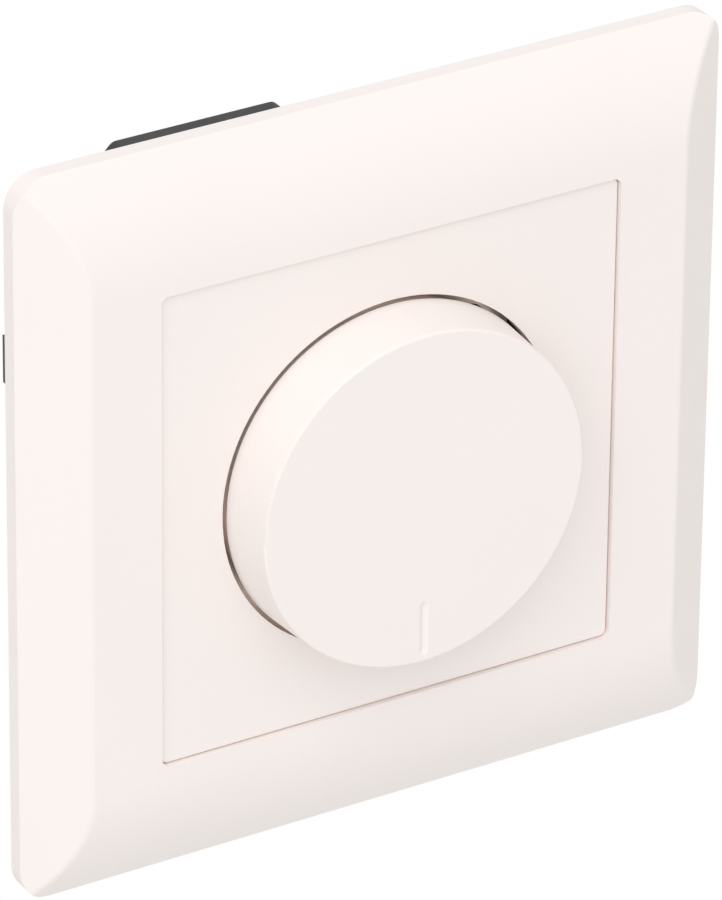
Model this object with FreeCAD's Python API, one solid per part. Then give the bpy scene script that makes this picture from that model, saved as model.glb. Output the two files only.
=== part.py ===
import FreeCAD, Part

import math
import os

# Rotary wall dimmer with a push on/off knob, flush mounted in a round wall box.
# Frame: the origin is on the knob's axis in the plane of the wall. +Z is up, and +Y goes into the wall,
# so the face that people see looks along -Y. All sizes are in millimetres.

# ---- driving dimensions ---------------------------------------------------------------------------------
# cover frame
frame_side = 84.5          # outside of the square frame
frame_corner_r = 3.8
frame_front = 6.45         # height of the frame's flat front above the wall
frame_rim = 1.95           # height of the upright rim beside the left and right bevels
bevel_width = 6.43         # from the rim to the flat front, left and right
roll_width = 13.25         # depth of the rolled band, top and bottom, from the outside inwards
roll_r = 21.4
frame_wall = 1.8
frame_crease_r = 0.9       # softening of the creases on the front
opening_wall = 1.6
frame_rib = 1.2
frame_rib_pitch = 18.0
ledge_width = 1.6          # inner ledge that the centre plate holds down
ledge_thick = 1.6
# centre plate
plate_side = 55.0
plate_corner_r = 0.8
plate_gap = 0.12           # gap all round between plate and frame
plate_recess = 0.45        # the plate's face lies this far below the frame's front
plate_wall = 1.8
plate_skirt = 1.6
plate_edge_r = 0.22
leg_width = 5.0            # four snap legs hold the plate to the support ring
leg_thick = 1.4
leg_x = 24.0               # inner face of a leg
leg_z = 13.0               # lower edge of an upper leg
leg_hook = 0.9
leg_hook_length = 1.6
leg_gap = 0.2
# knob
knob_face_r = 19.36
knob_base_r = 19.74        # radius where the knob passes the plate's face
knob_height = 7.25         # from the plate's face to the knob's face
knob_gap = 0.45            # radial gap between the knob and the plate's round hole
knob_hover = 0.05          # at rest the knob's outer wall ends this far in front of the plate's face
skirt_step = 1.0           # the narrower skirt below it stands back by this much
skirt_wall = 1.2
skirt_sink = 3.2           # and reaches this far behind the plate's face
knob_top = 1.8
knob_edge_r = 0.3
knob_boss_r = 4.4
knob_ribs = 6
knob_rib = 1.0
knob_rib_depth = 2.3
knob_slit = 0.8
knob_slit_depth = 2.5
pointer_inner = 12.1       # the pointer groove runs between these radii
pointer_outer = 18.55
pointer_width = 1.15
pointer_depth = 0.28
clip_thick = 0.5
clip_width = 1.6
# shaft, bush and ring nut
shaft_r = 2.0
shaft_flat = 1.5           # distance of the shaft's flat from its axis
shaft_neck = 1.6           # radius in the circlip's groove
push_travel = 1.2
run_gap = 0.05             # radial running clearance
slip_gap = 0.02            # clearance of the knob's bore on the shaft
bush_r = 5.0
bush_out = 5.0             # the bush ends this far in front of the wall
bush_flange_r = 8.0
bush_flange = 1.0
bush_hole_gap = 0.15
nut_flange_r = 8.0
nut_flange = 0.7
nut_flats = 13.0
# support ring
ring_side = 71.0
ring_cut = 12.0            # corners are cut off by this much
ring_thick = 1.2
opening_room = 8.75        # from the housing's sides to the raised boss in the ring's round opening
ring_opening_gap = 0.2
screw_spacing = 60.0       # standard spacing of the wall box's screws
slot_r = 1.8
slot_length = 6.4
head_notch = 9.2           # width left free in frame and plate for the box screws' heads
head_notch_depth = 2.7
# claws
claw_pin_x = 18.9
claw_pin_y = 6.0
claw_pin_r = 1.0
claw_barrel_r = 1.7
claw_width = 8.4
claw_thick = 1.4
claw_out = 27.9
claw_end = 20.0
claw_tooth = 1.4
claw_gap = 0.4
claw_screw_x = 22.9
claw_screw_r = 1.5
claw_screw_head_r = 2.6
claw_screw_head = 1.6
claw_screw_end = 10.0
claw_slot = 0.4
claw_slot_gap = 0.3
ear_width = 3.6
ear_length = 8.2
ear_window = 7.0
# housing
housing_flats = 46.2       # across the flats of the octagonal housing
housing_flat_share = 0.43  # length of its top, bottom, left and right flats, as a share of housing_flats
housing_corner_r = 1.2
housing_depth = 35.35      # from the wall's plane to the back of the rear cover
housing_wall = 1.6
front_wall = 2.0
front_boss = 2.2           # height of the raised boss in front of the wall's plane
lid_thick = 2.0
lid_rim = 1.2
lid_rim_depth = 2.0
lid_gap = 0.15
pocket_depth = 10.8        # claw pockets, measured from the wall's plane
pocket_floor_x = 16.8
pocket_half = 6.6
lug_low, lug_high = -2.3, 3.4
lug_out = 0.35
lug_depth = 1.2
snap_width = 6.0
snap_length = 4.2
snap_hook = 1.3
snap_thick = 1.2
vent_count = 5
vent_width = 1.2
vent_length = 11.0
vent_pitch = 3.0
vent_z = 11.5
boss_room_x, boss_room_z = 7.95, 8.4   # from the housing's inner walls to a screw boss's axis
boss_r = 2.6
boss_pilot_r = 1.1
# potentiometer and switch
pot_side = 17.0
pot_depth = 6.0
pot_bore_r = 6.6
pot_back = 1.0
rotor_r = 6.2
rotor_thick = 1.9
rotor_back_gap = 0.7
wiper_thick = 0.25
track_thick = 0.25
track_inner, track_outer = 3.6, 5.8
track_sweep = 300.0
wiper_sweep = 24.0
circlip_r = 3.6
circlip_thick = 0.6
switch_side = 14.0
switch_bore_r = 3.6
switch_back = 1.0
plunger_r = 3.3
plunger_head = 1.2
plunger_stem_r = 1.0
plunger_reach = 0.6        # the shaft's end stands this far behind the potentiometer
spring_r = 2.2
spring_wire = 0.3
spring_turns = 5
switch_pin_r = 0.4
pin_tail = 0.7
# circuit board and what stands on it
board_thick = 1.6
board_gap = 0.65           # gap all round between the board and the housing
back_space = 14.1          # room between the board and the rear cover
board_screw_r = 1.0
board_screw_head_r = 1.9
ring_screw_head_r = 2.4
screw_head = 1.2
screw_length = 7.0
trim_share = 0.574         # place of the trimmer's axis, as a share of the housing's inner half
trim_side = 5.0
trim_depth = 6.0
trim_spindle_r = 1.5
trim_hole_gap = 0.5
trim_front = 0.6
film_across = 14.0
film_high = 7.0
film_room = 4.5            # room left in front of the film capacitor
film_x = -1.0
film_share = 0.633         # place of the film capacitor's middle, as a share of the housing's inner half
cap_r = 4.0
cap_room = 5.5             # room left in front of the electrolytic capacitor
cap_bead = 0.4
cap_x = -8.0
cap_room_z = 7.15          # from the housing's inner wall to the electrolytic capacitor's axis
choke_r = 8.2
choke_hole_r = 4.4
choke_thick = 6.4
choke_z = 8.0
winding_turns = 16
winding_wire = 0.45
winding_gap = 0.05
choke_lift = 0.9           # the choke stands clear of the switch's soldered pins
sink_room_x = 5.65         # from the housing's inner wall to the heatsink plate
sink_thick = 1.5
sink_room = 1.1            # room left between the heatsink plate and the rear cover
sink_half = 10.0
pad_thick = 0.3
tab_thick = 1.3
triac_body = 3.0
triac_width = 10.0
triac_high = 3.0
triac_clear = 6.75         # from the lower boss's axis up to the triac
triac_hole_z = 6.3
triac_screw_r = 1.5
triac_screw_head_r = 2.6
triac_screw_head = 1.7
triac_lead = 0.7
triac_lead_pitch = 2.54
triac_stand = 1.0          # the triac stands this far behind the board
pad_border = 0.4
fuse_r = 2.6
fuse_length = 20.0
fuse_cap = 5.0
fuse_room = 6.15           # from the housing's inner wall to the fuse's axis
fuse_z = -0.8
fuse_stand = 4.2           # from the board to the fuse's axis
fuse_wall = 0.15
clip_sheet = 0.5
clip_half = 1.6
clip_foot = 1.2
# terminals
terminal_count = 3
terminal_pitch = 6.4
cage_half = 2.5
cage_height = 5.6
cage_front_wall = 1.2
cage_window = 6.2
cage_window_half = 1.7
cage_back_wall = 2.0
cage_travel = 3.6
bar_stand = 6.0            # from the cage's front wall to the contact bar
bar_thick = 0.8
bar_half = 1.3
term_screw_r = 1.5
term_head_r = 2.4
term_head = 1.8
term_head_gap = 0.35
cell_gap = 0.3
cell_wall = 1.5
entry_r = 2.1
entry_lead = 0.3
slack = 0.3                # free space between parts that move past each other

# ---- places worked out from the sizes -------------------------------------------------------------------
half = frame_side / 2
plate_face = -(frame_front - plate_recess)
knob_face = plate_face - knob_height
knob_back = plate_face - knob_hover
skirt_end = plate_face + skirt_sink
skirt_r = knob_base_r - skirt_step
knob_inner_r = skirt_r - skirt_wall
ring_front = -ring_thick
hole_r = knob_base_r + knob_gap
roll_start = half - roll_width
boss_front = -front_boss
ledge_back = ring_front
ledge_front = ledge_back - ledge_thick
opening_half = plate_side / 2 + plate_gap
lid_y = housing_depth - lid_thick
inner_flats = housing_flats - 2 * housing_wall
inner_half = inner_flats / 2
ring_opening_r = housing_flats / 2 - opening_room
boss_x, boss_z = inner_half - boss_room_x, inner_half - boss_room_z
trim_x = trim_z = inner_half * trim_share
sink_x = inner_half - sink_room_x
film_z = inner_half * film_share
cap_z = -(inner_half - cap_room_z)
fuse_x = -(inner_half - fuse_room)
triac_low = -(boss_z - triac_clear)
terminal_z = -(inner_half - lid_gap - cell_wall - cell_gap - cage_height / 2)
board_y = lid_y - back_space - board_thick
pot_front = front_wall + bush_flange
pot_end = pot_front + pot_depth
track_face = pot_end - pot_back - track_thick
rotor_end = track_face - rotor_back_gap / 2 - wiper_thick
rotor_start = rotor_end - rotor_thick
circlip_y = pot_front + run_gap
shaft_start = knob_face + knob_top + slack
shaft_end = pot_end + plunger_reach
switch_end = board_y
spring_start = shaft_end + plunger_head
spring_end = switch_end - switch_back
plunger_stem = spring_end - spring_start - push_travel - slack
board_back = board_y + board_thick
cage_end = lid_y - cell_gap - slack - cage_travel
cage_start = cage_end - cage_back_wall - cage_window - cage_front_wall
bar_y = cage_start + bar_stand
film_deep = board_y - front_wall - film_room
cap_length = board_y - front_wall - cap_room
sink_end = lid_y - sink_room
triac_y = board_back + triac_stand + triac_width / 2
fuse_y = board_back + fuse_stand
boss_back = -(bush_out + push_travel + slack)


# ---- small helpers --------------------------------------------------------------------------------------
def vec(x, y, z):
    return FreeCAD.Vector(x, y, z)


def block(x0, x1, y0, y1, z0, z1):
    return Part.makeBox(x1 - x0, y1 - y0, z1 - z0, vec(x0, y0, z0))


def rod(r, y0, y1, x=0.0, z=0.0):
    """A cylinder along Y."""
    return Part.makeCylinder(r, y1 - y0, vec(x, y0, z), vec(0, 1, 0))


def cone(r0, r1, y0, y1, x=0.0, z=0.0):
    return Part.makeCone(r0, r1, y1 - y0, vec(x, y0, z), vec(0, 1, 0))


def prism(points, along):
    """Extrudes a closed outline of points."""
    wire = Part.makePolygon([vec(*p) for p in points + points[:1]])
    return Part.Face(wire).extrude(vec(*along))


def octagon(flats, y0, y1, flat=None):
    """An octagon with flats left, right, top and bottom; a regular one if no flat's length is given."""
    a = flats / 2
    b = flat / 2 if flat else a * math.tan(math.radians(22.5))
    corners = [(b, a), (a, b), (a, -b), (b, -a), (-b, -a), (-a, -b), (-a, b), (-b, a)]
    return prism([(x, y0, z) for x, z in corners], (0, y1 - y0, 0))


def housing_form(inset, y0, y1):
    """The housing's octagon, moved inwards by inset, with rounded corners."""
    flat = housing_flats * housing_flat_share - 2 * inset * math.tan(math.radians(22.5))
    form = octagon(housing_flats - 2 * inset, y0, y1, flat)
    return form.makeFillet(max(housing_corner_r - inset, 0.3), edges_along_y(form, y1 - y0))


def edges_along_y(shape, length):
    """The straight edges of this length that run along Y."""
    found = []
    for edge in shape.Edges:
        a, b = edge.firstVertex().Point, edge.lastVertex().Point
        if abs(abs(a.y - b.y) - length) < 1e-6 and abs(a.x - b.x) + abs(a.z - b.z) < 1e-6:
            found.append(edge)
    return found


def rounded(half_side, corner_r, y0, y1):
    """A square plate with rounded corners, centred on the knob's axis."""
    plain = block(-half_side, half_side, y0, y1, -half_side, half_side)
    return plain.makeFillet(corner_r, edges_along_y(plain, y1 - y0))


def fuse_all(shapes):
    return shapes[0].multiFuse(shapes[1:]).removeSplitter() if len(shapes) > 1 else shapes[0]


def cut_all(shape, tools):
    return shape.cut(Part.makeCompound(tools)) if len(tools) == 1 else shape.cut(fuse_all(tools))


def left_right(shape):
    """The shape and its mirror image about the YZ plane."""
    return [shape, shape.mirror(vec(0, 0, 0), vec(1, 0, 0))]


def four_ways(shape):
    """The shape turned to the four sides of the square."""
    turned = []
    for k in range(4):
        copy = shape.copy()
        copy.rotate(vec(0, 0, 0), vec(0, 1, 0), 90 * k)
        turned.append(copy)
    return turned


def d_profile(r, flat, y0, y1):
    """A round bar with one flat, which faces up."""
    return rod(r, y0, y1).cut(block(-2 * r, 2 * r, y0 - 1, y1 + 1, flat, 2 * r))


def save(name, shape):
    solids = shape.Solids
    out = solids[0] if len(solids) == 1 else Part.makeCompound(solids)
    out.exportStep(f"parts/{name}.step")
    print(f"{name:24s} solids {len(solids):2d} faces {len(out.Faces):3d} "
          f"volume {out.Volume:9.2f} valid {out.isValid()}")


# ---- cover frame ----------------------------------------------------------------------------------------
def frame_form(inset):
    """The frame's outer form, moved inwards by inset: flat bevels left and right, rolled top and bottom."""
    angle = math.atan((frame_front - frame_rim) / bevel_width)
    side = half - inset
    front = frame_front - inset
    rim = frame_rim + inset * math.tan(angle) - inset / math.cos(angle)
    front_x = side - (front - rim) / math.tan(angle)
    reach = side + 1
    bevelled = prism(
        [(-side, 1, -reach), (-side, -rim, -reach), (-front_x, -front, -reach),
         (front_x, -front, -reach), (side, -rim, -reach), (side, 1, -reach)],
        (0, 0, 2 * reach),
    )
    r = roll_r - inset
    centre_y = r - front

    def on_roll(z):
        return centre_y - math.sqrt(r * r - (z - roll_start) ** 2)

    middle = (roll_start + side) / 2
    p = [vec(-reach, 1, -side), vec(-reach, on_roll(side), -side), vec(-reach, -front, -roll_start),
         vec(-reach, -front, roll_start), vec(-reach, on_roll(side), side), vec(-reach, 1, side)]
    wire = Part.Wire([
        Part.LineSegment(p[0], p[1]).toShape(),
        Part.Arc(p[1], vec(-reach, on_roll(middle), -middle), p[2]).toShape(),
        Part.LineSegment(p[2], p[3]).toShape(),
        Part.Arc(p[3], vec(-reach, on_roll(middle), middle), p[4]).toShape(),
        Part.LineSegment(p[4], p[5]).toShape(),
        Part.LineSegment(p[5], p[0]).toShape(),
    ])
    rolled = Part.Face(wire).extrude(vec(2 * reach, 0, 0))
    corner = rounded(side, max(frame_corner_r - inset, 0.5), -frame_front - 1, 0)
    return bevelled.common(rolled).common(corner)


def crease_edges(form):
    """The long edges on the frame's front: where the bevels meet the flat front and the rolls."""
    angle = math.atan((frame_front - frame_rim) / bevel_width)
    found = []
    for edge in form.Edges:
        mid = edge.valueAt((edge.FirstParameter + edge.LastParameter) / 2)
        on_bevel = abs(-mid.y - frame_rim - (half - abs(mid.x)) * math.tan(angle)) < 1e-4
        if on_bevel and abs(mid.x) < half - 1e-3 and mid.y < -frame_rim:
            inner = edge.Length > 2 and abs(mid.x) < half - frame_corner_r
            if inner:
                found.append(edge)
    return found


def make_cover_frame():
    outer = frame_form(0)
    outer = outer.makeFillet(frame_crease_r, crease_edges(outer))
    tube_half = opening_half + opening_wall
    hollow = frame_form(frame_wall).cut(
        rounded(tube_half, plate_corner_r + opening_wall, -frame_front - 1, 1))
    shell = outer.cut(hollow)
    behind_ring = block(-tube_half, tube_half, ring_front, 1, -tube_half, tube_half)
    opening = rounded(opening_half, plate_corner_r + plate_gap, -frame_front - 1, 1)
    shell = shell.cut(opening).cut(behind_ring)
    ledge = rounded(opening_half + opening_wall / 2, plate_corner_r + 1, ledge_front, ledge_back).cut(
        rounded(opening_half - ledge_width, plate_corner_r, ledge_front - 1, ledge_back + 1))
    ribs = []
    for place in (-frame_rib_pitch, 0, frame_rib_pitch):
        rib = block(tube_half - 0.5, half, -frame_front, ring_front - slack,
                    place - frame_rib / 2, place + frame_rib / 2)
        ribs += four_ways(rib.common(frame_form(frame_wall / 2)))
    notch = block(opening_half - ledge_width - 1, screw_spacing / 2 + head_notch / 2,
                  ring_front - head_notch_depth, 1, -head_notch / 2, head_notch / 2)
    return fuse_all([shell, ledge] + ribs).cut(fuse_all(four_ways(notch)))


# ---- centre plate ---------------------------------------------------------------------------------------
def make_centre_plate():
    side = plate_side / 2
    body = rounded(side, plate_corner_r, plate_face, ledge_front)
    rim = [e for e in body.Edges if all(abs(v.Point.y - plate_face) < 1e-6 for v in e.Vertexes)]
    body = body.makeFillet(plate_edge_r, rim)
    body = body.cut(rounded(side - plate_skirt, plate_corner_r, plate_face + plate_wall, ledge_front + 1))
    out = leg_x + leg_thick
    leg = block(leg_x, out, plate_face + plate_wall / 2, leg_gap + leg_hook_length, leg_z, leg_z + leg_width)
    hook = prism([(out - 0.1, leg_gap, leg_z), (out + leg_hook, leg_gap, leg_z),
                  (out - 0.1, leg_gap + leg_hook_length, leg_z)], (0, 0, leg_width))
    upper = left_right(fuse_all([leg, hook]))
    lower = [piece.mirror(vec(0, 0, 0), vec(0, 0, 1)) for piece in upper]
    notch = block(side - plate_skirt - 1, side + 1, ring_front - head_notch_depth,
                  ledge_front + 1, -head_notch / 2, head_notch / 2)
    body = fuse_all([body] + upper + lower)
    return body.cut(rod(hole_r, plate_face - 1, 1)).cut(fuse_all(four_ways(notch)))


# ---- knob -----------------------------------------------------------------------------------------------
def make_knob():
    outer = cone(knob_face_r, knob_base_r, knob_face, knob_back)
    rim = [e for e in outer.Edges if abs(e.CenterOfMass.y - knob_face) < 1e-6]
    outer = outer.makeFillet(knob_edge_r, rim)
    outer = fuse_all([outer, rod(skirt_r, knob_back - 0.5, skirt_end)])
    shell = outer.cut(rod(knob_inner_r, knob_face + knob_top, skirt_end + 1))
    boss = rod(knob_boss_r, knob_face + knob_top - 0.2, boss_back)
    ribs = []
    for k in range(knob_ribs):
        rib = block(knob_boss_r - 0.5, knob_inner_r + 0.3, knob_face + knob_top - 0.2,
                    knob_face + knob_top + knob_rib_depth, -knob_rib / 2, knob_rib / 2)
        rib.rotate(vec(0, 0, 0), vec(0, 1, 0), 360.0 / knob_ribs * k)
        ribs.append(rib)
    bore = d_profile(shaft_r + slip_gap, shaft_flat + slip_gap, shaft_start - slack / 2, boss_back + 1)
    slits = block(-knob_slit / 2, knob_slit / 2, boss_back - knob_slit_depth, boss_back + 1,
                  -knob_boss_r - 1, 0)
    whole = fuse_all([shell, boss] + ribs)
    return whole.cut(fuse_all([bore, slits])).cut(pointer_groove())


def pointer_groove():
    """A V-shaped groove with pointed ends below the knob's axis."""
    over = 2                # the cutting form stands this many depths in front of the face
    w = pointer_width / 2 * (1 + over)
    front, bottom = knob_face - over * pointer_depth, knob_face + pointer_depth
    low = -pointer_outer + pointer_width / 2
    high = -pointer_inner - pointer_width / 2
    middle = prism([(-w, front, low), (0, bottom, low), (w, front, low)], (0, 0, high - low))
    return fuse_all([middle, cone(w, 0, front, bottom, 0, low), cone(w, 0, front, bottom, 0, high)])


def make_knob_clip():
    """Open steel ring that presses the slit boss onto the shaft."""
    y1 = boss_back - 0.3
    y0 = y1 - clip_width
    ring = rod(knob_boss_r + clip_thick, y0, y1).cut(rod(knob_boss_r, y0 - 1, y1 + 1))
    return ring.cut(block(-2, 2, y0 - 1, y1 + 1, 0, 2 * knob_boss_r))


# ---- shaft, bush, circlip and nut -----------------------------------------------------------------------
def make_shaft():
    bar = rod(shaft_r, shaft_start, shaft_end)
    front_flat = block(-shaft_r, shaft_r, shaft_start - 1, boss_back + 0.3, shaft_flat, shaft_r + 1)
    rotor_flat = block(-shaft_r, shaft_r, circlip_y + circlip_thick + slack, shaft_end + 1,
                       shaft_flat, shaft_r + 1)
    groove = rod(shaft_r + 1, circlip_y, circlip_y + circlip_thick).cut(
        rod(shaft_neck, circlip_y - 1, circlip_y + circlip_thick + 1))
    bar = bar.cut(front_flat).cut(rotor_flat).cut(groove)
    return bar


def make_shaft_circlip():
    ring = rod(circlip_r, circlip_y, circlip_y + circlip_thick).cut(
        rod(shaft_neck, circlip_y - 1, circlip_y + circlip_thick + 1))
    return ring.cut(block(-shaft_neck * 0.8, shaft_neck * 0.8, circlip_y - 1,
                          circlip_y + circlip_thick + 1, 0, circlip_r + 1))


def make_threaded_bush():
    tube = fuse_all([rod(bush_r, -bush_out, pot_front), rod(bush_flange_r, front_wall, pot_front)])
    return tube.cut(rod(shaft_r + run_gap, -bush_out - 1, pot_front + 1))


def make_ring_nut():
    flange = rod(nut_flange_r, boss_front - nut_flange, boss_front)
    flats = octagon(nut_flats, -bush_out + 0.2, boss_front - nut_flange + 0.1)
    return fuse_all([flange, flats]).cut(rod(bush_r, -bush_out - 1, boss_front + 1))


# ---- support ring, its screws, claws --------------------------------------------------------------------
def make_support_ring():
    a = ring_side / 2
    c = ring_cut
    corners = [(-a + c, a), (a - c, a), (a, a - c), (a, -a + c),
               (a - c, -a), (-a + c, -a), (-a, -a + c), (-a, a - c)]
    plate = prism([(x, ring_front, z) for x, z in corners], (0, ring_thick, 0))
    added, taken = [plate], []
    for x in (-claw_screw_x, claw_screw_x):
        taken.append(rod(claw_screw_r + slack, ring_front - 1, 1, x))
    for side in (-1, 1):
        for up in (-1, 1):
            x = sorted((side * (leg_x - leg_hook - leg_gap), side * (leg_x + leg_thick + leg_gap)))
            z = sorted((up * (leg_z - leg_gap), up * (leg_z + leg_width + leg_gap)))
            taken.append(block(x[0], x[1], ring_front - 1, 1, z[0], z[1]))
    low = claw_width / 2 + claw_gap
    for side in (-1, 1):
        for up in (-1, 1):
            x = side * claw_pin_x
            z = sorted((up * low, up * (low + ring_thick)))
            w = sorted((up * (low + ring_thick), up * (low + ring_thick + ear_window)))
            added.append(block(x - ear_width / 2, x + ear_width / 2, ring_front, ear_length, z[0], z[1]))
            taken.append(block(x - ear_width / 2, x + ear_width / 2, ring_front - 1, 0.5, w[0], w[1]))
            taken.append(Part.makeCylinder(claw_pin_r, ring_thick + 2, vec(x, claw_pin_y, z[0] - 1)))
    slot = fuse_all([
        block(screw_spacing / 2 - slot_length / 2 + slot_r, screw_spacing / 2 + slot_length / 2 - slot_r,
              ring_front - 1, 2, -slot_r, slot_r),
        rod(slot_r, ring_front - 1, 2, screw_spacing / 2 - slot_length / 2 + slot_r),
        rod(slot_r, ring_front - 1, 2, screw_spacing / 2 + slot_length / 2 - slot_r),
    ])
    taken += four_ways(slot)
    taken.append(rod(ring_opening_r + ring_opening_gap, ring_front - 1, 1))
    taken.append(rod(trim_spindle_r + trim_hole_gap, ring_front - 1, 1, trim_x, trim_z))
    for x, z in ((-boss_x, boss_z), (boss_x, -boss_z)):
        taken.append(cone(ring_screw_head_r, boss_pilot_r, ring_front, 0, x, z))
    ring = fuse_all(added)
    for tool in taken:
        ring = ring.cut(tool)
    return ring


def make_ring_screws():
    screws = []
    for x, z in ((-boss_x, boss_z), (boss_x, -boss_z)):
        head = cone(ring_screw_head_r, boss_pilot_r, ring_front, 0, x, z)
        shank = rod(boss_pilot_r, -0.01, screw_length, x, z)
        recess = block(x - 1.6, x + 1.6, ring_front - 1, ring_front + 0.5, z - 0.3, z + 0.3)
        screws.append(fuse_all([head, shank]).cut(recess))
    return Part.makeCompound(screws)


def make_claw():
    """Left claw: a bell crank of bent strip. Its barrel turns on a pin in the ring's ears, the claw screw
    goes through its foot, and its toothed arm lies beside the housing."""
    w = claw_width / 2
    barrel = Part.makeCylinder(claw_barrel_r, claw_width, vec(-claw_pin_x, claw_pin_y, -w))
    y0, y1 = claw_pin_y - claw_thick / 2, claw_pin_y + claw_thick / 2
    foot = block(-claw_out, -claw_pin_x, y0, y1, -w, w)
    arm = block(-claw_out, -claw_out + claw_thick, y0, claw_end, -w, w)
    bent = fuse_all([foot, arm])
    corner = [e for e in bent.Edges
              if abs(e.Length - claw_width) < 1e-6 and abs(e.CenterOfMass.x + claw_out) < 1e-6
              and abs(e.CenterOfMass.y - y0) < 1e-6]
    bent = bent.makeFillet(claw_thick * 0.8, corner)
    tooth = prism([(-claw_out, claw_end - 2.5, -w), (-claw_out - claw_tooth, claw_end, -w),
                   (-claw_out + 0.3, claw_end, -w)], (0, 0, claw_width))
    gaps = [block(-claw_out - claw_tooth - 1, -claw_out - 0.01, claw_end - 3, claw_end + 1, z - 0.7, z + 0.7)
            for z in (-claw_width / 6, claw_width / 6)]
    body = fuse_all([barrel, bent, cut_all(tooth, gaps)])
    pin_bore = Part.makeCylinder(claw_pin_r + run_gap, claw_width + 2, vec(-claw_pin_x, claw_pin_y, -w - 1))
    r = claw_screw_r + claw_slot_gap
    hole = fuse_all([rod(r, y0 - 1, y1 + 1, -claw_screw_x - claw_slot),
                     rod(r, y0 - 1, y1 + 1, -claw_screw_x + claw_slot),
                     block(-claw_screw_x - claw_slot, -claw_screw_x + claw_slot, y0 - 1, y1 + 1, -r, r)])
    return body.cut(pin_bore).cut(hole)


def make_claw_screw():
    seat = ring_front
    head = rod(claw_screw_head_r, seat - claw_screw_head, seat, -claw_screw_x)
    shank = rod(claw_screw_r, seat - 0.01, claw_screw_end, -claw_screw_x)
    recess = block(-claw_screw_x - 3, -claw_screw_x + 3, seat - claw_screw_head - 1,
                   seat - claw_screw_head + 0.8, -0.4, 0.4)
    return fuse_all([head, shank]).cut(recess)


def make_claw_pins():
    reach = claw_width / 2 + claw_gap + ring_thick
    return Part.makeCompound([
        Part.makeCylinder(claw_pin_r, 2 * reach, vec(x, claw_pin_y, -reach)) for x in (-claw_pin_x, claw_pin_x)])


# ---- housing and rear cover -----------------------------------------------------------------------------
def terminal_places():
    first = -(terminal_count - 1) / 2
    return [(first + k) * terminal_pitch for k in range(terminal_count)]


def snap_z():
    """The snap arms sit beside the lugs' middle."""
    return (lug_low + lug_high) / 2


def make_housing_shell():
    outer = housing_form(0, 0, lid_y)
    inner = housing_form(housing_wall, front_wall, lid_y + 1)
    shell = outer.cut(inner)
    front = rod(ring_opening_r, boss_front, front_wall / 2)
    wall = housing_wall
    pocket_box = block(-housing_flats / 2, -pocket_floor_x + wall, 0, pocket_depth + wall,
                       -pocket_half - wall, pocket_half + wall)
    bosses = [rod(boss_r, front_wall / 2, board_y, x, z)
              for x, z in ((-boss_x, boss_z), (boss_x, -boss_z))]
    shell = fuse_all([shell, front] + [b.common(outer) for b in left_right(pocket_box)] + bosses)
    pocket = block(-housing_flats / 2 - 1, -pocket_floor_x, -1, pocket_depth, -pocket_half, pocket_half)
    window = block(-housing_flats / 2 - 1, -inner_flats / 2 + 0.5, lid_y - snap_length, lid_y - 1.2,
                   snap_z() - snap_width / 2 - slack, snap_z() + snap_width / 2 + slack)
    taken = left_right(pocket) + left_right(window)
    taken.append(rod(bush_r + bush_hole_gap, boss_front - 1, front_wall + 1))
    taken.append(rod(trim_spindle_r + trim_hole_gap, -1, front_wall + 1, trim_x, trim_z))
    for x, z in ((-boss_x, boss_z), (boss_x, -boss_z)):
        taken.append(rod(boss_pilot_r, -1, screw_length + 0.5, x, z))
        taken.append(rod(board_screw_r, board_y - screw_length, board_y + 1, x, z))
    for x in terminal_places():
        taken.append(Part.makeCylinder(entry_r, wall + 2, vec(x, wire_y(), -housing_flats / 2 - 1)))
    for tool in taken:
        shell = shell.cut(tool)
    return shell


def make_rear_cover():
    plate = housing_form(0, lid_y, housing_depth)
    inset = housing_wall + lid_gap
    rim = housing_form(inset, lid_y - lid_rim_depth, lid_y + 0.1).cut(
        housing_form(inset + lid_rim, lid_y - lid_rim_depth - 1, lid_y + 1))
    added = [plate, rim]
    flat = housing_flats / 2
    arm_x = inner_flats / 2 - lid_gap
    z0, z1 = snap_z() - snap_width / 2, snap_z() + snap_width / 2
    arm = block(-arm_x, -arm_x + snap_thick, lid_y - snap_length, lid_y + 0.1, z0, z1)
    hook = prism([(-arm_x + 0.2, lid_y - snap_length + slack, z0), (-arm_x - snap_hook, lid_y - 1.5, z0),
                  (-arm_x + 0.2, lid_y - 1.5, z0)], (0, 0, snap_width))
    lug = block(-flat - lug_out, -flat + 0.5, housing_depth - lug_depth, housing_depth, lug_low, lug_high)
    for piece in (arm, hook, lug):
        added += left_right(piece)
    cover = fuse_all(added)
    taken = [rod(term_head_r + term_head_gap, lid_y - 3, housing_depth + 1, x, terminal_z)
             for x in terminal_places()]
    first = -(vent_count - 1) / 2 * vent_pitch
    for k in range(vent_count):
        x = first + k * vent_pitch
        taken.append(block(x - vent_width / 2, x + vent_width / 2, lid_y - 1, housing_depth + 1,
                           vent_z - vent_length / 2, vent_z + vent_length / 2))
    body_cut = block(-block_half() - slack, block_half() + slack, lid_y - lid_rim_depth - 1, lid_y,
                     -housing_flats / 2, terminal_z + cage_height / 2 + cell_gap)
    for tool in taken + [body_cut]:
        cover = cover.cut(tool)
    return cover


# ---- potentiometer --------------------------------------------------------------------------------------
def make_potentiometer_body():
    s = pot_side / 2
    body = block(-s, s, pot_front, pot_end, -s, s)
    body = body.makeFillet(1.5, edges_along_y(body, pot_depth))
    body = body.cut(rod(pot_bore_r, pot_front - 1, pot_end - pot_back))
    return body.cut(rod(shaft_r + slack, pot_front, pot_end + 1))


def make_rotor():
    disc = rod(rotor_r, rotor_start, rotor_end)
    return disc.cut(d_profile(shaft_r + run_gap, shaft_flat + run_gap, rotor_start - 1, rotor_end + 1))


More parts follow.
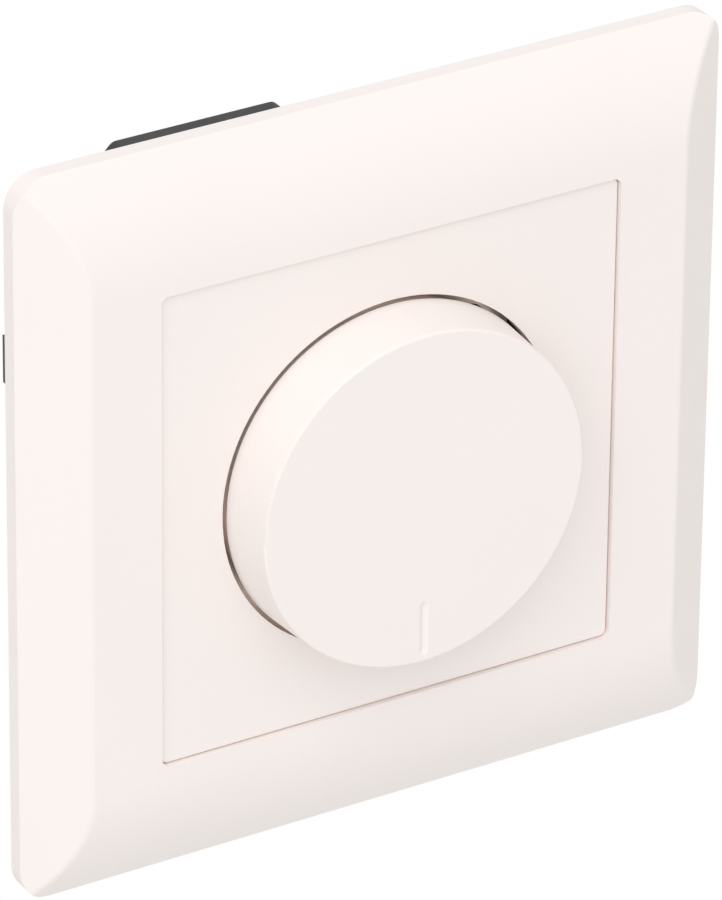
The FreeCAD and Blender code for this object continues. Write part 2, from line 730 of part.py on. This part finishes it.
def sector(inner, outer, y0, y1, start, sweep):
    """Part of a flat ring. Angles are in degrees, clockwise from straight down, as seen from the front."""
    ring = Part.makeCylinder(outer, y1 - y0, vec(0, y0, 0), vec(0, 1, 0), sweep).cut(rod(inner, y0 - 1, y1 + 1))
    place = ring.copy()
    place.rotate(vec(0, 0, 0), vec(0, 1, 0), start)
    return place


def make_wiper():
    return sector(track_inner + 0.2, track_outer - 0.2, rotor_end, rotor_end + wiper_thick, 0, wiper_sweep)


def make_resistive_track():
    return sector(track_inner, track_outer, track_face, track_face + track_thick, 0, track_sweep)


# ---- push switch ----------------------------------------------------------------------------------------
def make_switch_body():
    s = switch_side / 2
    body = block(-s, s, pot_end, switch_end, -s, s)
    body = body.makeFillet(1.0, edges_along_y(body, switch_end - pot_end))
    return body.cut(rod(switch_bore_r, pot_end - 1, switch_end - switch_back))


def make_switch_plunger():
    head = rod(plunger_r, shaft_end, shaft_end + plunger_head)
    stem = rod(plunger_stem_r, shaft_end + plunger_head - 0.1, shaft_end + plunger_head + plunger_stem)
    return fuse_all([head, stem])


def make_return_spring():
    """A coil of fine wire between the plunger and the bottom of the switch."""
    y0, y1 = spring_start + spring_wire, spring_end - spring_wire
    pitch = (y1 - y0) / spring_turns
    helix = Part.makeHelix(pitch, y1 - y0, spring_r)
    corners = [math.radians(60 * k) for k in range(7)]
    section = Part.makePolygon([vec(spring_r + spring_wire * math.cos(t), 0, spring_wire * math.sin(t))
                                for t in corners])
    coil = Part.Wire(helix).makePipeShell([section], True, True)
    solid = Part.Solid(coil) if coil.ShapeType != "Solid" else coil
    solid.rotate(vec(0, 0, 0), vec(1, 0, 0), -90)
    solid.translate(vec(0, y0, 0))
    return solid


def make_switch_pins():
    s = switch_side / 2 - 2
    return Part.makeCompound([rod(switch_pin_r, switch_end, board_back + pin_tail, x, z)
                              for x in (-s, s) for z in (-s, s)])


# ---- circuit board and what stands on it ----------------------------------------------------------------
def make_circuit_board():
    board = housing_form(housing_wall + board_gap, board_y, board_back)
    s = switch_side / 2 - 2
    holes = [rod(switch_pin_r, board_y - 1, board_back + 1, x, z) for x in (-s, s) for z in (-s, s)]
    holes += [rod(board_screw_r, board_y - 1, board_back + 1, x, z)
              for x, z in ((-boss_x, boss_z), (boss_x, -boss_z))]
    for tool in holes:
        board = board.cut(tool)
    return board


def make_board_screws():
    screws = []
    for x, z in ((-boss_x, boss_z), (boss_x, -boss_z)):
        head = rod(board_screw_head_r, board_back, board_back + screw_head, x, z)
        shank = rod(board_screw_r, board_back - screw_length, board_back + 0.01, x, z)
        recess = block(x - 1.5, x + 1.5, board_back + screw_head - 0.5, board_back + screw_head + 1,
                       z - 0.3, z + 0.3)
        screws.append(fuse_all([head, shank]).cut(recess))
    return Part.makeCompound(screws)


def make_trimmer_body():
    s = trim_side / 2
    body = block(trim_x - s, trim_x + s, board_y - trim_depth, board_y, trim_z - s, trim_z + s)
    return body.cut(rod(trim_spindle_r + run_gap, board_y - trim_depth - 1, board_y - 1, trim_x, trim_z))


def make_trimmer_rotor():
    spindle = rod(trim_spindle_r, -trim_front, board_y - 1 - slack, trim_x, trim_z)
    slot = block(trim_x - 2, trim_x + 2, -trim_front - 1, -trim_front + 0.8, trim_z - 0.3, trim_z + 0.3)
    return spindle.cut(slot)


def make_film_capacitor():
    body = block(film_x - film_across / 2, film_x + film_across / 2, board_y - film_deep, board_y,
                 film_z - film_high / 2, film_z + film_high / 2)
    return body.makeFillet(0.6, [e for e in body.Edges if abs(e.CenterOfMass.y - board_y) > 1e-6])


def make_electrolytic_capacitor():
    can = rod(cap_r, board_y - cap_length, board_y, cap_x, cap_z)
    top = [e for e in can.Edges if abs(e.CenterOfMass.y - board_y + cap_length) < 1e-6]
    can = can.makeFillet(0.6, top)
    bead = [board_y - 4 * cap_bead, board_y - 2 * cap_bead]
    ring = rod(cap_r + 1, bead[0], bead[1], cap_x, cap_z).cut(
        rod(cap_r - cap_bead, bead[0], bead[1], cap_x, cap_z))
    return can.cut(ring)


def make_choke_core():
    y = board_back + choke_lift + 2 * winding_wire
    ring = rod(choke_r, y, y + choke_thick, 0, choke_z).cut(
        rod(choke_hole_r, y - 1, y + choke_thick + 1, 0, choke_z))
    return ring.makeChamfer(0.5, [e for e in ring.Edges if abs(e.Length - 2 * math.pi * choke_r) < 1e-3])


def make_choke_winding():
    """Separate square turns of enamelled wire, spread round the core."""
    w = 2 * winding_wire
    y0 = board_back + choke_lift + w
    y1 = y0 + choke_thick
    turns = []
    for k in range(winding_turns):
        outer = block(choke_hole_r - winding_gap - w, choke_r + w, y0 - w, y1 + w, -w / 2, w / 2)
        turn = outer.cut(block(choke_hole_r - winding_gap, choke_r, y0, y1, -w, w))
        turn.rotate(vec(0, 0, 0), vec(0, 1, 0), 360.0 / winding_turns * (k + 0.5))
        turn.translate(vec(0, 0, choke_z))
        turns.append(turn)
    return Part.makeCompound(turns)


def make_heatsink_plate():
    plate = block(sink_x, sink_x + sink_thick, board_back, sink_end, -sink_half, sink_half)
    bore = Part.makeCylinder(triac_screw_r, sink_thick + 2, vec(sink_x - 1, triac_y, triac_hole_z), vec(1, 0, 0))
    return plate.cut(bore)


def make_insulating_pad():
    reach = triac_width / 2 + pad_border
    pad = block(sink_x - pad_thick, sink_x, triac_y - reach, triac_y + reach, triac_low - 1, sink_half)
    return pad.cut(Part.makeCylinder(triac_screw_r, 2, vec(sink_x - 1, triac_y, triac_hole_z), vec(1, 0, 0)))


def make_triac():
    y0, y1 = triac_y - triac_width / 2, triac_y + triac_width / 2
    tab_x = sink_x - pad_thick
    tab = block(tab_x - tab_thick, tab_x, y0, y1, triac_low, sink_half - 0.4)
    body = block(tab_x - tab_thick - triac_body, tab_x - tab_thick + 0.1, y0, y1, triac_low, triac_high)
    leads = []
    x = tab_x - tab_thick - triac_body / 2
    for k in (-1, 0, 1):
        y = triac_y + k * triac_lead_pitch
        z = triac_low - (k + 2.2) * triac_lead * 1.4
        leads.append(block(x - triac_lead / 2, x + triac_lead / 2, y - triac_lead / 2, y + triac_lead / 2,
                           z - triac_lead / 2, triac_low + 0.1))
        leads.append(block(x - triac_lead / 2, x + triac_lead / 2, board_back, y + triac_lead / 2,
                           z - triac_lead / 2, z + triac_lead / 2))
    bore = Part.makeCylinder(triac_screw_r, tab_thick + 2, vec(tab_x - tab_thick - 1, triac_y, triac_hole_z),
                             vec(1, 0, 0))
    return fuse_all([tab, body] + leads).cut(bore)


def make_triac_screw():
    seat = sink_x - pad_thick - tab_thick
    head = Part.makeCylinder(triac_screw_head_r, triac_screw_head,
                             vec(seat - triac_screw_head, triac_y, triac_hole_z), vec(1, 0, 0))
    shank = Part.makeCylinder(triac_screw_r, sink_x + sink_thick - seat + 0.01,
                              vec(seat - 0.01, triac_y, triac_hole_z), vec(1, 0, 0))
    return fuse_all([head, shank])


def fuse_rod(r, z0, z1):
    return Part.makeCylinder(r, z1 - z0, vec(fuse_x, fuse_y, fuse_z + z0))


def make_fuse_tube():
    end = fuse_length / 2 - 0.3
    return fuse_rod(fuse_r - fuse_wall, -end, end)


def make_fuse_caps():
    end = fuse_length / 2
    caps = []
    for z0, z1 in ((-end, -end + fuse_cap), (end - fuse_cap, end)):
        caps.append(fuse_rod(fuse_r, z0, z1).cut(fuse_rod(fuse_r - fuse_wall, -end + 0.3, end - 0.3)))
    return Part.makeCompound(caps)


def make_fuse_clips():
    """Two spring clips that stand on the board and hold the fuse by its caps."""
    clips = []
    for z in (-(fuse_length - fuse_cap) / 2, (fuse_length - fuse_cap) / 2):
        z0, z1 = z - clip_half, z + clip_half
        grip = fuse_rod(fuse_r + clip_sheet, z0, z1).cut(fuse_rod(fuse_r, z0 - 1, z1 + 1))
        mouth = block(fuse_x - fuse_r, fuse_x + fuse_r, fuse_y + fuse_r * 0.6, fuse_y + 2 * fuse_r,
                      fuse_z + z0 - 1, fuse_z + z1 + 1)
        foot = block(fuse_x - clip_foot, fuse_x + clip_foot, board_back, fuse_y - fuse_r - clip_sheet / 2,
                     fuse_z + z0, fuse_z + z1)
        clips.append(fuse_all([grip.cut(mouth), foot]))
    return Part.makeCompound(clips)


# ---- terminals ------------------------------------------------------------------------------------------
def wire_y():
    """Middle of the gap that the wire goes into, between the cage's front wall and the contact bar."""
    return (cage_start + cage_front_wall + bar_y) / 2


def block_half():
    return (terminal_count - 1) / 2 * terminal_pitch + cage_half + cell_gap + 1.0


def make_terminal_block():
    z_low = terminal_z - cage_height / 2 - cell_gap
    z_high = terminal_z + cage_height / 2 + cell_gap
    w = block_half()
    body = block(-w, w, board_back, lid_y - cell_gap, z_low - cell_wall, z_high)
    body = body.common(housing_form(housing_wall + lid_gap, board_back - 1, lid_y))
    for x in terminal_places():
        cell = cage_half + cell_gap
        body = body.cut(block(x - cell, x + cell, cage_start - cell_gap, lid_y + 1, z_low, z_high + 1))
        body = body.cut(Part.makeCylinder(entry_r + entry_lead, cell_wall + 4, vec(x, wire_y(), z_low - cell_wall - 3)))
    return body


def make_terminal_cage(x):
    z0, z1 = terminal_z - cage_height / 2, terminal_z + cage_height / 2
    y1 = cage_start + cage_front_wall + cage_window + cage_back_wall
    cage = block(x - cage_half, x + cage_half, cage_start, y1, z0, z1)
    window = block(x - cage_window_half, x + cage_window_half, cage_start + cage_front_wall,
                   y1 - cage_back_wall, z0 - 1, z1 + 1)
    thread = rod(term_screw_r + run_gap, y1 - cage_back_wall - 1, y1 + 1, x, terminal_z)
    return cage.cut(window).cut(thread)


def make_terminal_screw(x):
    head_y = cage_start + cage_front_wall + cage_window + cage_back_wall + cage_travel + slack
    tip = bar_y + bar_thick + run_gap
    head = rod(term_head_r, head_y, head_y + term_head, x, terminal_z)
    shank = rod(term_screw_r, tip, head_y + 0.01, x, terminal_z)
    recess = block(x - 3, x + 3, head_y + term_head - 0.8, head_y + term_head + 1,
                   terminal_z - 0.35, terminal_z + 0.35)
    return fuse_all([head, shank]).cut(recess)


def make_bus_bars():
    """Bent strips from the board into the three cages."""
    z_out = terminal_z - cage_height / 2
    z_in = terminal_z + cage_height / 2 + cell_gap + bar_thick
    bars = []
    for x in terminal_places():
        flat = block(x - bar_half, x + bar_half, bar_y, bar_y + bar_thick, z_out, z_in)
        leg = block(x - bar_half, x + bar_half, board_back, bar_y + bar_thick, z_in - bar_thick, z_in)
        bars.append(fuse_all([flat, leg]))
    return Part.makeCompound(bars)


# ---- build ----------------------------------------------------------------------------------------------
os.makedirs("parts", exist_ok=True)

claw_left = make_claw()
claw_right = claw_left.mirror(vec(0, 0, 0), vec(1, 0, 0))
claw_screw_left = make_claw_screw()
claw_screw_right = claw_screw_left.mirror(vec(0, 0, 0), vec(1, 0, 0))

nodes = {
    "cover_frame": make_cover_frame(),
    "centre_plate": make_centre_plate(),
    "knob": make_knob(),
    "knob_clip": make_knob_clip(),
    "shaft": make_shaft(),
    "shaft_circlip": make_shaft_circlip(),
    "threaded_bush": make_threaded_bush(),
    "ring_nut": make_ring_nut(),
    "support_ring": make_support_ring(),
    "ring_screws": make_ring_screws(),
    "claw_left": claw_left,
    "claw_right": claw_right,
    "claw_screw_left": claw_screw_left,
    "claw_screw_right": claw_screw_right,
    "claw_pins": make_claw_pins(),
    "housing_shell": make_housing_shell(),
    "rear_cover": make_rear_cover(),
    "potentiometer_body": make_potentiometer_body(),
    "rotor": make_rotor(),
    "wiper": make_wiper(),
    "resistive_track": make_resistive_track(),
    "switch_body": make_switch_body(),
    "switch_plunger": make_switch_plunger(),
    "return_spring": make_return_spring(),
    "switch_pins": make_switch_pins(),
    "circuit_board": make_circuit_board(),
    "board_screws": make_board_screws(),
    "trimmer_body": make_trimmer_body(),
    "trimmer_rotor": make_trimmer_rotor(),
    "film_capacitor": make_film_capacitor(),
    "electrolytic_capacitor": make_electrolytic_capacitor(),
    "choke_core": make_choke_core(),
    "choke_winding": make_choke_winding(),
    "heatsink_plate": make_heatsink_plate(),
    "insulating_pad": make_insulating_pad(),
    "triac": make_triac(),
    "triac_screw": make_triac_screw(),
    "fuse_tube": make_fuse_tube(),
    "fuse_caps": make_fuse_caps(),
    "fuse_clips": make_fuse_clips(),
    "terminal_block": make_terminal_block(),
    "bus_bars": make_bus_bars(),
}
for number, place in enumerate(terminal_places(), 1):
    nodes[f"terminal_cage_{number}"] = make_terminal_cage(place)
    nodes[f"terminal_screw_{number}"] = make_terminal_screw(place)

for node_name, node_shape in nodes.items():
    save(node_name, node_shape)
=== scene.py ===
import math

import bmesh
import bpy
from mathutils import Matrix, Vector


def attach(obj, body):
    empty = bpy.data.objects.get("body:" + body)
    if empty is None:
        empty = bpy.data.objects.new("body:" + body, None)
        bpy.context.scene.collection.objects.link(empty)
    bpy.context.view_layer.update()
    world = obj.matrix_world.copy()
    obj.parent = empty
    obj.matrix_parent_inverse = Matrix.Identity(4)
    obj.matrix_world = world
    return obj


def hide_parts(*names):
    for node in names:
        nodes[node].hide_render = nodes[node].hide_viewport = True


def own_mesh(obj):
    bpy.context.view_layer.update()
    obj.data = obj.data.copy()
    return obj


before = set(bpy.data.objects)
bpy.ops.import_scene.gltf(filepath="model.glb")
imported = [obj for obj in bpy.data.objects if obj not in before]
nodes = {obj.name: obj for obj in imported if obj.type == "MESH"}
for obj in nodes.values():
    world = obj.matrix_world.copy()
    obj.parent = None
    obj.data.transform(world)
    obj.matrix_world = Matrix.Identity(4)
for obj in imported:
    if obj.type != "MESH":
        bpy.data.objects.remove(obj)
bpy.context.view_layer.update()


# ---- Cover frame ----------------------------------------------------------------------------------------
# The square surround, moulded in one piece from warm white thermoplastic with a satin gloss. It hangs on the
# insert's support ring and is held there by the centre plate, whose skirt presses on its inner ledge.

def new_material(name):
    """An empty procedural material with its shader and its object coordinates."""
    material = bpy.data.materials.new(name)
    material.use_nodes = True
    tree = material.node_tree
    tree.nodes.clear()
    output = tree.nodes.new("ShaderNodeOutputMaterial")
    shader = tree.nodes.new("ShaderNodeBsdfPrincipled")
    place = tree.nodes.new("ShaderNodeTexCoord")
    tree.links.new(shader.outputs["BSDF"], output.inputs["Surface"])
    return material, tree, shader, place.outputs["Object"]


def noise(tree, place, size, detail=2.0, stretch=(1.0, 1.0, 1.0)):
    """Noise whose blobs are about this size in metres."""
    mapping = tree.nodes.new("ShaderNodeMapping")
    mapping.inputs["Scale"].default_value = stretch
    texture = tree.nodes.new("ShaderNodeTexNoise")
    texture.inputs["Scale"].default_value = 1.0 / size
    texture.inputs["Detail"].default_value = detail
    tree.links.new(place, mapping.inputs["Vector"])
    tree.links.new(mapping.outputs["Vector"], texture.inputs["Vector"])
    return texture.outputs["Fac"]


# Nearly all of a noise's values lie between these two.
noise_low, noise_high = 0.3, 0.7


def spread(tree, value, low, high):
    """Maps a noise value onto the range low to high."""
    node = tree.nodes.new("ShaderNodeMapRange")
    node.inputs["From Min"].default_value = noise_low
    node.inputs["From Max"].default_value = noise_high
    node.inputs["To Min"].default_value = low
    node.inputs["To Max"].default_value = high
    tree.links.new(value, node.inputs["Value"])
    return node.outputs["Result"]


def blend_colours(tree, value, dark, light):
    """A colour that wanders between two tones with a noise value."""
    ramp = tree.nodes.new("ShaderNodeValToRGB")
    ramp.color_ramp.elements[0].position = noise_low
    ramp.color_ramp.elements[1].position = noise_high
    ramp.color_ramp.elements[0].color = (*dark, 1)
    ramp.color_ramp.elements[1].color = (*light, 1)
    tree.links.new(value, ramp.inputs["Fac"])
    return ramp.outputs["Color"]


def rough_skin(tree, shader, value, height):
    """Raises the surface by up to height metres where the noise is high."""
    bump = tree.nodes.new("ShaderNodeBump")
    bump.inputs["Strength"].default_value = 1.0
    bump.inputs["Distance"].default_value = height
    tree.links.new(value, bump.inputs["Height"])
    tree.links.new(bump.outputs["Normal"], shader.inputs["Normal"])


def moulded_plastic(name, tone, drift, gloss, grain, height, specular=0.5):
    """Moulded plastic: a slight drift of tone, uneven gloss and the fine grain of the mould."""
    material, tree, shader, place = new_material(name)
    shader.inputs["Specular IOR Level"].default_value = specular
    wide = noise(tree, place, 0.018)
    darker = tuple(c * (1 - drift) for c in tone)
    tree.links.new(blend_colours(tree, wide, darker, tone), shader.inputs["Base Color"])
    patches = noise(tree, place, 0.004)
    tree.links.new(spread(tree, patches, gloss - 0.04, gloss + 0.04), shader.inputs["Roughness"])
    rough_skin(tree, shader, noise(tree, place, grain, 3.0), height)
    return material


def finish(node, material):
    """Gives a CAD node its material."""
    piece = nodes[node]
    piece.data.materials.clear()
    piece.data.materials.append(material)


def show_instead(node, mesh, material):
    """Shows this mesh in place of a CAD node that rides on the insert."""
    mesh.materials.clear()
    mesh.materials.append(material)
    piece = bpy.data.objects.new(mesh.name, mesh)
    bpy.context.scene.collection.objects.link(piece)
    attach(piece, "insert")
    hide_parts(node)
    return piece


warm_white = (0.918, 0.854, 0.823)
cover_plastic = moulded_plastic("warm_white_plastic", warm_white, drift=0.010, gloss=0.42, grain=0.00035,
                                height=0.0000022, specular=0.42)
finish("cover_frame", cover_plastic)

# The frame's top and bottom are rolled bands of this radius, about axes at this depth and height. Three
# ribs behind each band end a tenth of a millimetre too far out, so the frame that is seen has those ends
# laid flush.
band_radius, band_axis_y, band_axis_z = 0.0214, 0.01495, 0.0290
merge_distance = 0.000001
proud = 0.000005           # a vertex this far outside the band stands proud of it
outward = 0.8              # least cosine between the way out and a face that looks out
casting = bmesh.new()
casting.from_mesh(nodes["cover_frame"].data)
facing = casting.loops.layers.float_vector.new("facing")
corners = [loop for face in casting.faces for loop in face.loops]
for loop, corner in zip(corners, nodes["cover_frame"].data.corner_normals):
    loop[facing] = corner.vector
bmesh.ops.remove_doubles(casting, verts=casting.verts, dist=merge_distance)


def from_band_axis(place):
    """The way from the axis of the nearer rolled band to this place."""
    return Vector((0, place.y - band_axis_y, place.z - math.copysign(band_axis_z, place.z)))


rib_ends = [vert for vert in casting.verts
            if vert.co.y < 0 and abs(vert.co.z) > band_axis_z
            and from_band_axis(vert.co).length > band_radius + proud]
rib_faces = {face for vert in rib_ends for face in vert.link_faces
             if face.normal.dot(from_band_axis(vert.co).normalized()) > outward}
for vert in rib_ends:
    out = from_band_axis(vert.co)
    vert.co += out.normalized() * (band_radius - out.length)
for face in rib_faces:
    for loop in face.loops:
        loop[facing] = from_band_axis(loop.vert.co).normalized()
frame_mesh = bpy.data.meshes.new("cover_frame_flush")
casting.to_mesh(frame_mesh)
casting.free()
frame_mesh.normals_split_custom_set([corner.vector for corner in frame_mesh.attributes["facing"].data])
frame_mesh.attributes.remove(frame_mesh.attributes["facing"])
show_instead("cover_frame", frame_mesh, cover_plastic)

# ---- Centre plate ---------------------------------------------------------------------------------------
# The square plate that fills the frame's opening, moulded from the same warm white plastic. Its round hole
# leaves a narrow dark gap round the knob, and four snap legs behind it catch the support ring.
finish("centre_plate", cover_plastic)

# ---- Knob, its clip and the shaft -----------------------------------------------------------------------
# The push-and-turn knob is a round cap in the same plastic with an engraved pointer. A ring of spring steel
# presses its slit boss onto the turned, nickel-plated brass shaft, and a circlip holds the shaft.
finish("knob", cover_plastic)


def worked_metal(name, tone, gloss, marks, stretch, height):
    """Bare or plated metal: uneven gloss and fine marks that run across the stretched axis."""
    material, tree, shader, place = new_material(name)
    shader.inputs["Metallic"].default_value = 1.0
    dulled = tuple(c * 0.86 for c in tone)
    tree.links.new(blend_colours(tree, noise(tree, place, 0.006), dulled, tone), shader.inputs["Base Color"])
    fine = noise(tree, place, marks, 2.0, stretch)
    tree.links.new(spread(tree, fine, gloss - 0.06, gloss + 0.08), shader.inputs["Roughness"])
    rough_skin(tree, shader, fine, height)
    return material


spring_steel = worked_metal("spring_steel", (0.50, 0.50, 0.51), 0.30, 0.0004, (1, 8, 1), 0.000002)
nickel = worked_metal("nickel_brass", (0.74, 0.70, 0.62), 0.24, 0.0003, (0.2, 6, 0.2), 0.0000015)
for node in ("knob_clip", "shaft_circlip", "return_spring"):
    finish(node, spring_steel)
for node in ("shaft", "threaded_bush", "fuse_caps"):
    finish(node, nickel)

# The return spring stands between the plunger's head and the switch's back. Its loose triangles are merged
# and shaded smooth, with the wire's ends kept sharp.
wire_crease = math.radians(40)
coil = bmesh.new()
coil.from_mesh(nodes["return_spring"].data)
bmesh.ops.remove_doubles(coil, verts=coil.verts, dist=merge_distance)
coil_mesh = bpy.data.meshes.new("return_spring_coil")
coil.to_mesh(coil_mesh)
coil.free()
coil_mesh.polygons.foreach_set("use_smooth", [True] * len(coil_mesh.polygons))
coil_mesh.set_sharp_from_angle(angle=wire_crease)
return_spring = show_instead("return_spring", coil_mesh, spring_steel)
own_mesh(return_spring)

# ---- Insert: housing, rear cover, nut and switch bodies -------------------------------------------------
# Moulded black thermoset with a fine matt skin. The housing and its rear cover are the dark octagonal box
# behind the frame.
black_plastic = moulded_plastic("black_plastic", (0.040, 0.037, 0.037), 0.15, 0.50, 0.00022, 0.000006, 0.5)
black_nodes = ("housing_shell", "rear_cover", "potentiometer_body", "switch_body", "terminal_block",
               "ring_nut")
for node in black_nodes:
    finish(node, black_plastic)

# ---- Support ring, claws and screws ---------------------------------------------------------------------
# Zinc-plated steel: a pale blue-grey with the soft blotches of the plating bath. The ring is stamped, the
# claws are bent strip and the screws are turned.
zinc = worked_metal("zinc_steel", (0.66, 0.67, 0.68), 0.34, 0.0009, (1, 1, 1), 0.000003)
zinc_nodes = ["support_ring", "ring_screws", "claw_left", "claw_right", "claw_screw_left",
              "claw_screw_right", "claw_pins", "board_screws", "triac_screw"]
zinc_nodes += [node for node in nodes if node.startswith(("terminal_cage_", "terminal_screw_"))]
for node in zinc_nodes:
    finish(node, zinc)

# ---- Potentiometer rotor, track, wiper and plunger ------------------------------------------------------
# The turning and sliding pieces are natural, unpigmented plastic. The track is printed carbon with a dry,
# speckled surface, and the wiper is stamped brass.
natural = moulded_plastic("natural_plastic", (0.80, 0.77, 0.68), 0.05, 0.45, 0.0003, 0.000003)
for node in ("rotor", "switch_plunger", "trimmer_rotor"):
    finish(node, natural)
carbon = moulded_plastic("carbon_track", (0.018, 0.018, 0.019), 0.45, 0.70, 0.00008, 0.000004, 0.3)
finish("resistive_track", carbon)
brass = worked_metal("brass", (0.80, 0.58, 0.25), 0.30, 0.0003, (8, 1, 1), 0.000002)
finish("wiper", brass)

# ---- Circuit board and its components -------------------------------------------------------------------
# Green solder resist over glass laminate, whose weave shows faintly, and the plain moulded, dipped or sleeved
# bodies that stand on it.
laminate, tree, shader, place = new_material("board_laminate")
shader.inputs["Roughness"].default_value = 0.33
weave = tree.nodes.new("ShaderNodeTexWave")
weave.bands_direction = "X"
weave.inputs["Scale"].default_value = 900.0
weave.inputs["Distortion"].default_value = 1.5
tree.links.new(place, weave.inputs["Vector"])
tree.links.new(blend_colours(tree, weave.outputs["Fac"], (0.018, 0.130, 0.050), (0.024, 0.160, 0.062)),
               shader.inputs["Base Color"])
rough_skin(tree, shader, weave.outputs["Fac"], 0.000003)
finish("circuit_board", laminate)

bodies = (
    ("trimmer_body", "blue_plastic", (0.020, 0.090, 0.340), 0.08, 0.30, 0.0004, 0.000002),
    ("film_capacitor", "yellow_plastic", (0.620, 0.440, 0.050), 0.06, 0.32, 0.0006, 0.000004),
    ("electrolytic_capacitor", "capacitor_can", (0.018, 0.020, 0.036), 0.10, 0.26, 0.0010, 0.000003),
    ("choke_core", "ferrite", (0.065, 0.066, 0.070), 0.35, 0.62, 0.00012, 0.000010),
    ("insulating_pad", "silicone_pad", (0.36, 0.36, 0.37), 0.06, 0.75, 0.0003, 0.000004),
    ("triac", "black_epoxy", (0.014, 0.014, 0.015), 0.25, 0.58, 0.00015, 0.000006),
)
for node, slot, tone, drift, gloss, grain, height in bodies:
    finish(node, moulded_plastic(slot, tone, drift, gloss, grain, height))

copper = worked_metal("enamelled_copper", (0.70, 0.28, 0.12), 0.22, 0.0005, (1, 1, 1), 0.000001)
finish("choke_winding", copper)
aluminium = worked_metal("aluminium_plate", (0.74, 0.75, 0.76), 0.36, 0.0003, (1, 10, 1), 0.000003)
finish("heatsink_plate", aluminium)
tin = worked_metal("tinned_copper", (0.70, 0.69, 0.66), 0.32, 0.0008, (1, 1, 1), 0.000003)
for node in ("switch_pins", "fuse_clips", "bus_bars"):
    finish(node, tin)

glass, tree, shader, place = new_material("clear_glass")
shader.inputs["Base Color"].default_value = (0.93, 0.96, 0.95, 1)
shader.inputs["IOR"].default_value = 1.5
shader.inputs["Transmission Weight"].default_value = 1.0
tree.links.new(spread(tree, noise(tree, place, 0.002), 0.02, 0.06), shader.inputs["Roughness"])
finish("fuse_tube", glass)

# ---- Room -----------------------------------------------------------------------------------------------
# A plain pale floor well below the dimmer, soft lamps and the camera. The camera looks in and down from the
# front left, and its two small shifts aside and down centre the dimmer.
bearing, climb, tilt = (math.radians(a) for a in (31.162, 28.456, -0.629))
right = Vector((math.cos(bearing), -math.sin(bearing), 0))
forward = Vector((math.sin(bearing) * math.cos(climb), math.cos(bearing) * math.cos(climb), -math.sin(climb)))
down = forward.cross(right)
right, down = (right * math.cos(tilt) + down * math.sin(tilt),
               down * math.cos(tilt) - right * math.sin(tilt))
camera_data = bpy.data.cameras.new("camera")
camera = bpy.data.objects.new("camera", camera_data)
bpy.context.scene.collection.objects.link(camera)
camera_data.sensor_width = 36.0
camera_data.lens = 327.0
camera_data.clip_end = 20.0
distance, aside, lower = 0.85879, 0.000065, 0.000252
turned = Matrix((right, -down, -forward)).transposed().to_4x4()
camera.matrix_world = Matrix.Translation(right * aside + down * lower - forward * distance) @ turned
bpy.context.scene.camera = camera

floor_half, floor_height = 6.0, -0.30
floor_mesh = bpy.data.meshes.new("floor")
sheet = bmesh.new()
bmesh.ops.create_grid(sheet, x_segments=1, y_segments=1, size=floor_half,
                      matrix=Matrix.Translation((0, 0, floor_height)))
sheet.to_mesh(floor_mesh)
sheet.free()
floor = bpy.data.objects.new("floor", floor_mesh)
bpy.context.scene.collection.objects.link(floor)

# The floor is white where the camera or a glossy surface sees it, and plain matt for all other light.
paper = bpy.data.materials.new("pale_floor")
paper.use_nodes = True
tree = paper.node_tree
tree.nodes.clear()
output = tree.nodes.new("ShaderNodeOutputMaterial")
matt = tree.nodes.new("ShaderNodeBsdfDiffuse")
matt.inputs["Color"].default_value = (0.8, 0.8, 0.8, 1)
glow = tree.nodes.new("ShaderNodeEmission")
glow.inputs["Color"].default_value = (1, 1, 1, 1)
glow.inputs["Strength"].default_value = 1.0
mix = tree.nodes.new("ShaderNodeMixShader")
path = tree.nodes.new("ShaderNodeLightPath")
seen = tree.nodes.new("ShaderNodeMath")
seen.operation = "MAXIMUM"
tree.links.new(path.outputs["Is Camera Ray"], seen.inputs[0])
tree.links.new(path.outputs["Is Glossy Ray"], seen.inputs[1])
tree.links.new(seen.outputs[0], mix.inputs["Fac"])
tree.links.new(matt.outputs[0], mix.inputs[1])
tree.links.new(glow.outputs[0], mix.inputs[2])
tree.links.new(mix.outputs[0], output.inputs["Surface"])
floor_mesh.materials.append(paper)

world = bpy.data.worlds.new("room")
bpy.context.scene.world = world
world.use_nodes = True
world.node_tree.nodes["Background"].inputs["Color"].default_value = (1, 1, 1, 1)
world.node_tree.nodes["Background"].inputs["Strength"].default_value = 0.74


def lamp(name, place, size, power):
    """A square soft lamp that faces the dimmer."""
    data = bpy.data.lights.new(name, "AREA")
    data.size = size
    data.energy = power
    thing = bpy.data.objects.new(name, data)
    thing.location = place
    thing.rotation_euler = (-Vector(place)).to_track_quat("-Z", "Y").to_euler()
    bpy.context.scene.collection.objects.link(thing)
    return thing


lamp("key", (-1.0, -1.4, 1.5), size=2.2, power=24)
lamp("top", (-0.2, -0.2, 1.6), size=1.6, power=2.2)

# The pale cover lets a little light through, warmed on its way. A weak round lamp right behind the plate
# stands in for it, so the gap round the knob is warm and not black. More bounces carry light into the gap.
behind_plate = lamp("behind_plate", (0, -0.0042, 0), size=0.046, power=0.0017)
behind_plate.data.shape = "DISK"
behind_plate.data.color = (1.0, 0.66, 0.47)
behind_plate.visible_camera = False
bpy.context.scene.cycles.diffuse_bounces = 12
bpy.context.scene.cycles.max_bounces = 16

bpy.context.scene.view_settings.view_transform = "Standard"
